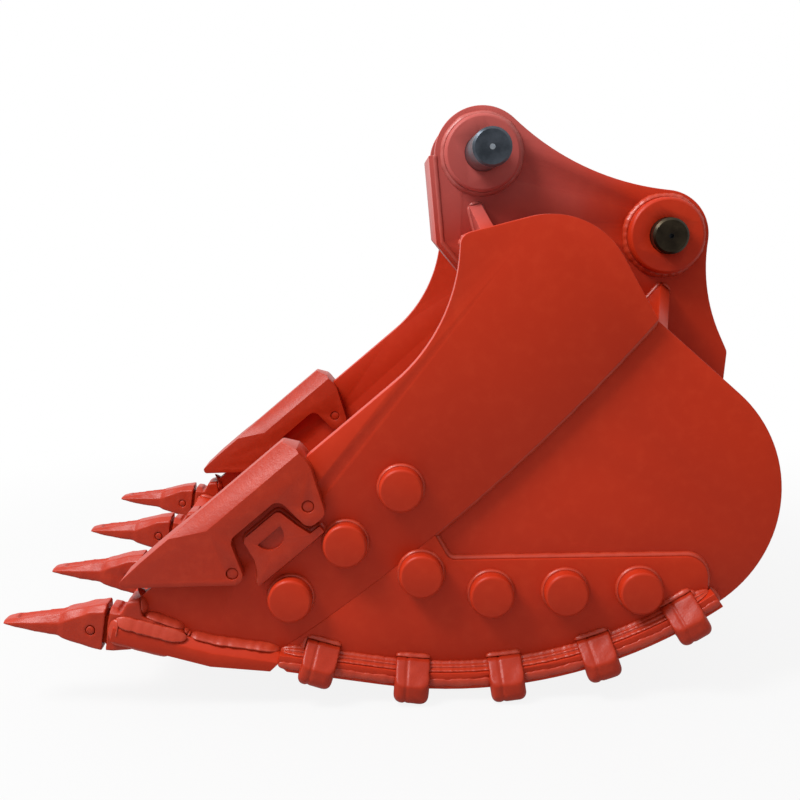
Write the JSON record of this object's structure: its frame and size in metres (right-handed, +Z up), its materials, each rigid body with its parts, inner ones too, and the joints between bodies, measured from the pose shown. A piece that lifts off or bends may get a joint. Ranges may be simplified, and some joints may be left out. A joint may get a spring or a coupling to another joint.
{
  "type": "rock bucket",
  "caption": "Welded rock bucket for a digger, with cast teeth on the lip, side shrouds, heel shrouds, wear buttons and two hinge pins through a pair of ears.",
  "frame": {"origin": "on the ground, at the middle of the standing bucket's length and width", "axes": "+Z up as the bucket stands on its heel shrouds; +X from the teeth to the heel; +Y across, to the right of someone who looks the way the teeth point, so left parts are at -Y"},
  "size_m": [1.6084, 1.21, 1.228],
  "materials": {
    "shell_paint": "semi-gloss orange-red paint on rolled and welded steel plate",
    "casting_paint": "semi-gloss orange-red paint on slightly rough castings",
    "pin_steel": "turned steel, dark and oiled on the ends"
  },
  "bodies": {
    "bucket": {"lip_plate": "shell_paint", "base_plate": "shell_paint", "bottom_wear_plate": "shell_paint", "wrapper_plate": "shell_paint", "top_plate": "shell_paint", "ear_front_plate": "shell_paint", "ear_cross_plate": "shell_paint", "side_bar_left": "shell_paint", "side_bar_right": "shell_paint", "side_plate_left": "shell_paint", "side_plate_right": "shell_paint", "side_wear_plate_left": "shell_paint", "side_wear_plate_right": "shell_paint", "wear_buttons_left": "shell_paint", "wear_buttons_right": "shell_paint", "side_shroud_left": "casting_paint", "side_shroud_right": "casting_paint", "shroud_boss_left": "casting_paint", "shroud_boss_right": "casting_paint", "shroud_pins_left": "shell_paint", "shroud_pins_right": "shell_paint", "heel_shrouds_left": "casting_paint", "heel_shrouds_right": "casting_paint", "ear_plate_left": "shell_paint", "ear_plate_right": "shell_paint", "arm_pin_boss_left": "shell_paint", "arm_pin_boss_right": "shell_paint", "link_pin_boss_left": "shell_paint", "link_pin_boss_right": "shell_paint", "front_gusset_left": "shell_paint", "front_gusset_right": "shell_paint", "rear_gusset_left": "shell_paint", "rear_gusset_right": "shell_paint", "tooth_adapter_1": "casting_paint", "tooth_adapter_2": "casting_paint", "tooth_adapter_3": "casting_paint", "tooth_adapter_4": "casting_paint", "tooth_point_1": "casting_paint", "tooth_point_2": "casting_paint", "tooth_point_3": "casting_paint", "tooth_point_4": "casting_paint", "tooth_lock_pins": "casting_paint"},
    "arm_pin": {"arm_pin": "pin_steel"},
    "link_pin": {"link_pin": "pin_steel"}
  },
  "joints": [
    {"name": "arm_pin_slide", "type": "slide", "parent": "bucket", "child": "arm_pin", "axis": [0, 1, 0], "range_m": [-0.31, 0.215]},
    {"name": "link_pin_slide", "type": "slide", "parent": "bucket", "child": "link_pin", "axis": [0, 1, 0], "range_m": [-0.52, 0]}
  ]
}
